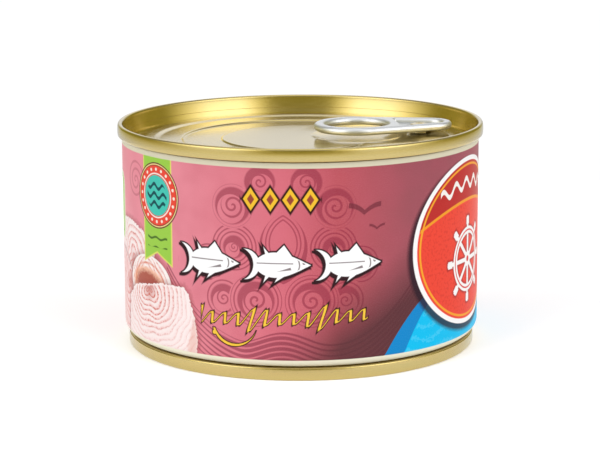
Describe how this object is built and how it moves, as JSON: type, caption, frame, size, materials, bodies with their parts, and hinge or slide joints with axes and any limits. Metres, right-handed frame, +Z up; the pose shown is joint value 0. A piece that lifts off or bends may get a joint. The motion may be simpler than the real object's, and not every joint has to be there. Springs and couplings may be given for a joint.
{
  "type": "tuna can",
  "caption": "Short round tuna can: a printed body with a necked-in foot, gold seamed ends with pressed beads, and a silver ring-pull tab riveted to the lid.",
  "frame": {"origin": "centre of the can's foot, on the surface that the can stands on", "axes": "+Z up the can's axis, out of the lid; the front of the print faces -Y; the pull tab's nose points to +X, turned 8.3 degrees towards +Y"},
  "size_m": [0.0867, 0.0867, 0.053],
  "materials": {
    "printed_tinplate": "gloss print under clear varnish",
    "gold_lacquer": "clear gold lacquer over bright tinplate",
    "tab_metal": "bright rolled metal"
  },
  "bodies": {
    "root": {"can_body": "printed_tinplate", "lid": "gold_lacquer", "base": "gold_lacquer", "pull_tab": "tab_metal"}
  },
  "joints": []
}
